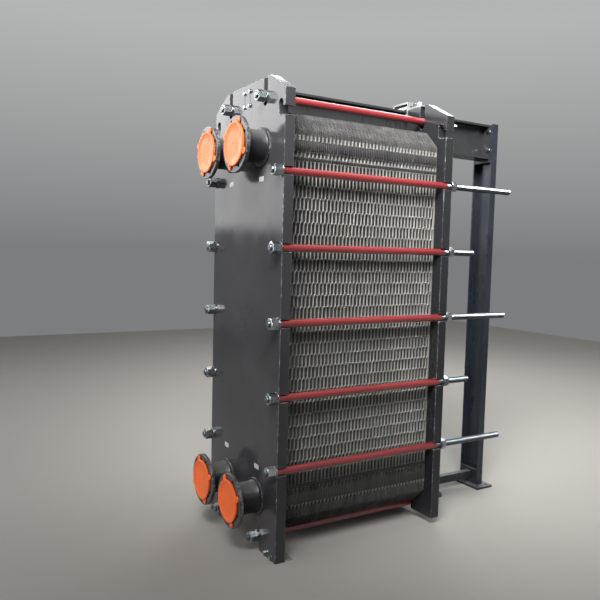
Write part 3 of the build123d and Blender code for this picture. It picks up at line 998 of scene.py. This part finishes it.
white_plate = plastic("white_plate", (0.5, 0.5, 0.49), (0.42, 0.42, 0.41), 0.4, 30.0, 0.0002)
label_half_size, label_corner, label_thickness = (0.025, 0.0125), 0.002, 0.001
corners = rounded(*label_half_size, label_corner)
bm = bmesh.new()
for x, z in ((-0.183, 1.960), (0.183, 1.960), (-0.192, 0.457), (0.192, 0.443)):
    prism(bm, [(x + a, z + b) for a, b in corners], front_face, front_face - label_thickness)
labels = piece_from(bm, "label_plates", white_plate)

# %% [markdown]
# The stage is a pale floor under a dim sky and seven soft panels. A narrow beam from above lights
# the walls of the cells, and three wide panels fill the front, the top and the rear left. The other
# three are there for what glossy surfaces mirror and light nothing directly: two on the left that
# the frame plate shows, and one behind for the highlights on sleeves, rods and nuts.

# %% Floor and light
bm = bmesh.new()
block(bm, (-9, -9, -0.02), (9, 9, 0.0))
floor = object_from(bm, "floor", Finish("pale_floor", (0.33, 0.312, 0.288), 0.75).material)


def softbox(name, place, target, width, height, watts):
    """A rectangular panel of soft light, aimed at a point."""
    lamp = bpy.data.lights.new(name, "AREA")
    lamp.shape, lamp.size, lamp.size_y = "RECTANGLE", width, height
    lamp.energy = watts
    holder = bpy.data.objects.new(name, lamp)
    holder.location = place
    holder.rotation_euler = (Vector(target) - Vector(place)).to_track_quat("-Z", "Y").to_euler()
    bpy.context.scene.collection.objects.link(holder)
    return holder


roof_light = softbox("roof_light", (2.6, -2.3, 5.0), (0.35, 0.0, 2.9), 3.2, 2.0, 170)
roof_light.data.spread = math.radians(62)
mirror_window = softbox("mirror_window", (-6.3, -3.9, 4.35), (0, -0.85, 2.3), 6.5, 2.0, 185)
wall_glow = softbox("wall_glow", (-6.6, -4.1, 2.6), (0, -0.85, 1.9), 6.5, 1.3, 62)
softbox("front_fill", (-1.2, -6.5, 1.6), (0, -0.85, 1.2), 4.5, 2.4, 125)
softbox("ridge_light", (0.4, 0.2, 6.2), (0.4, 0.2, 0), 1.4, 6.0, 70)
softbox("back_window", (-4.5, 3.6, 5.2), (0, 0, 2.4), 4.0, 3.0, 110)
shine = softbox("rear_roof_shine", (-2.4, 5.2, 6.0), (0.3, 0, 1.6), 8.0, 3.6, 400)
for panel in (mirror_window, wall_glow, shine):
    panel.visible_diffuse = False

# %% The sky and the view
dim_sky, bright_sky = (0.20, 0.205, 0.21, 1), (0.46, 0.47, 0.47, 1)
world = bpy.data.worlds.new("hall")
world.use_nodes = True
sky = world.node_tree
towards = sky.nodes.new("ShaderNodeTexCoord")
height = sky.nodes.new("ShaderNodeSeparateXYZ")
shade = sky.nodes.new("ShaderNodeValToRGB")
sky.links.new(towards.outputs["Generated"], height.inputs["Vector"])
sky.links.new(height.outputs["Z"], shade.inputs["Fac"])
sky.links.new(shade.outputs["Color"], sky.nodes["Background"].inputs["Color"])
shade.color_ramp.elements[0].color = dim_sky
shade.color_ramp.elements[1].position = 0.32
shade.color_ramp.elements[1].color = bright_sky
shade.color_ramp.elements.new(0.75).color = dim_sky
bpy.context.scene.world = world
bpy.context.scene.view_settings.view_transform = "Standard"
print("lamps:", len(bpy.data.lights))

# %% [markdown]
# The camera is at eye height and looks slightly down. Its place, angles and lens were fitted to
# the unit's corners, so that the render lines up with the photograph.

# %% Camera
eye = Vector((3.2088, -2.3950, 1.5866))
yaw, tilt, roll = math.radians(59.30), math.radians(-4.20), math.radians(1.435)
ahead = Vector((-math.sin(yaw) * math.cos(tilt), math.cos(yaw) * math.cos(tilt), math.sin(tilt)))
level = Vector((math.cos(yaw), math.sin(yaw), 0.0))
upward = level.cross(ahead)
right = level * math.cos(roll) + upward * math.sin(roll)
above = upward * math.cos(roll) - level * math.sin(roll)
lens = bpy.data.cameras.new("camera")
lens.sensor_width, lens.lens = 36.0, 38.904
camera = bpy.data.objects.new("camera", lens)
turn = Matrix((right, above, -ahead)).transposed()
camera.matrix_world = Matrix.Translation(eye) @ turn.to_4x4()
bpy.context.scene.collection.objects.link(camera)
bpy.context.scene.camera = camera
print("camera at", [round(v, 3) for v in eye])
